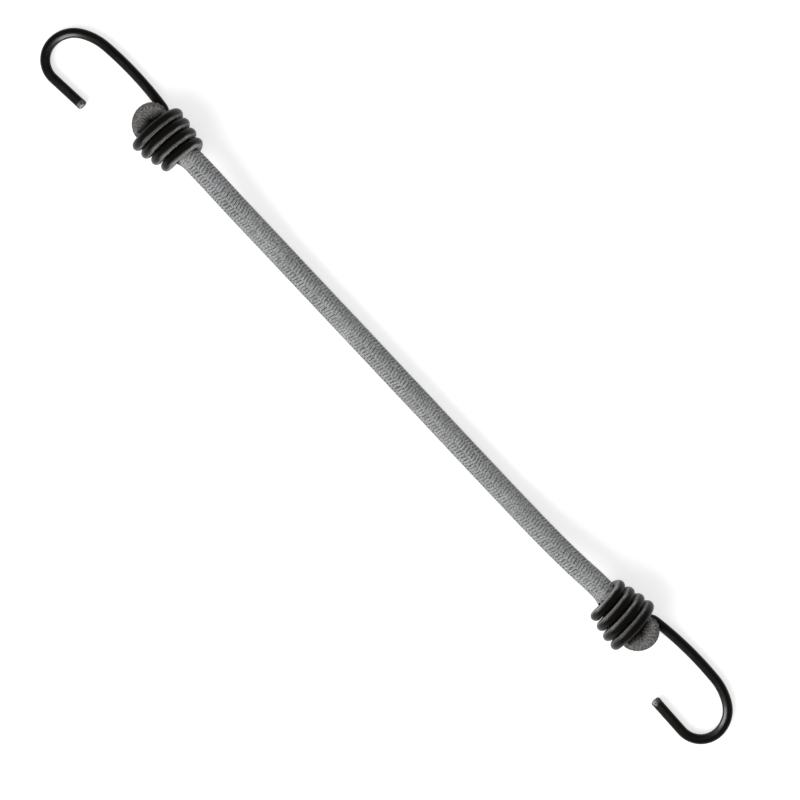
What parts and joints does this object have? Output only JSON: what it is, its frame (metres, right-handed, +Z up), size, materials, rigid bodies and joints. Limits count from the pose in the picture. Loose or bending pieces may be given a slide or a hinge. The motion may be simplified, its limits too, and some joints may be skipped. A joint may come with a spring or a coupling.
{
  "type": "bungee cord",
  "caption": "Short braided elastic cord with an open steel wire hook at each end; each hook's conical coil grips the cord's folded end and lets it swivel.",
  "frame": {"origin": "on the table, under the middle of the box round the two hooked ends", "axes": "+X along the cord from hook A to hook B, +Y to the side of the hooks' shanks, +Z up from the table"},
  "size_m": [0.3328, 0.0262, 0.0202],
  "materials": {
    "coated_wire": "black satin coating on steel wire",
    "braid": "tight grey braid of textured yarn",
    "latex": "natural latex strand, dusted with talc"
  },
  "bodies": {
    "cord": {"cord_sheath": "braid", "rubber_strand_01": "latex", "rubber_strand_02": "latex", "rubber_strand_03": "latex", "rubber_strand_04": "latex", "rubber_strand_05": "latex", "rubber_strand_06": "latex", "rubber_strand_07": "latex", "rubber_strand_08": "latex", "rubber_strand_09": "latex", "rubber_strand_10": "latex", "rubber_strand_11": "latex", "rubber_strand_12": "latex", "rubber_strand_13": "latex", "rubber_strand_14": "latex", "rubber_strand_15": "latex", "rubber_strand_16": "latex", "rubber_strand_17": "latex", "rubber_strand_18": "latex", "rubber_strand_19": "latex", "folded_sheath_a": "braid", "folded_core_a": "latex"},
    "hook_a": {"wire_hook_a": "coated_wire"},
    "cord_end_b": {"folded_sheath_b": "braid", "folded_core_b": "latex"},
    "hook_b": {"wire_hook_b": "coated_wire"}
  },
  "joints": [
    {"name": "swivel_a", "type": "hinge", "parent": "cord", "child": "hook_a", "pos_m": [-0.10085, 0.00272, 0.0099], "axis": [0.9996, 0.0279, 0], "continuous": true},
    {"name": "stretch", "type": "slide", "parent": "cord", "child": "cord_end_b", "axis": [1, 0, 0], "range_m": [0, 0.155], "stiffness_N_per_m": 650, "deforming": ["cord_sheath", "rubber_strand_01", "rubber_strand_02", "rubber_strand_03", "rubber_strand_04", "rubber_strand_05", "rubber_strand_06", "rubber_strand_07", "rubber_strand_08", "rubber_strand_09", "rubber_strand_10", "rubber_strand_11", "rubber_strand_12", "rubber_strand_13", "rubber_strand_14", "rubber_strand_15", "rubber_strand_16", "rubber_strand_17", "rubber_strand_18", "rubber_strand_19"]},
    {"name": "swivel_b", "type": "hinge", "parent": "cord_end_b", "child": "hook_b", "pos_m": [0.10075, 0.00272, 0.0099], "axis": [1, 0, 0], "continuous": true}
  ]
}
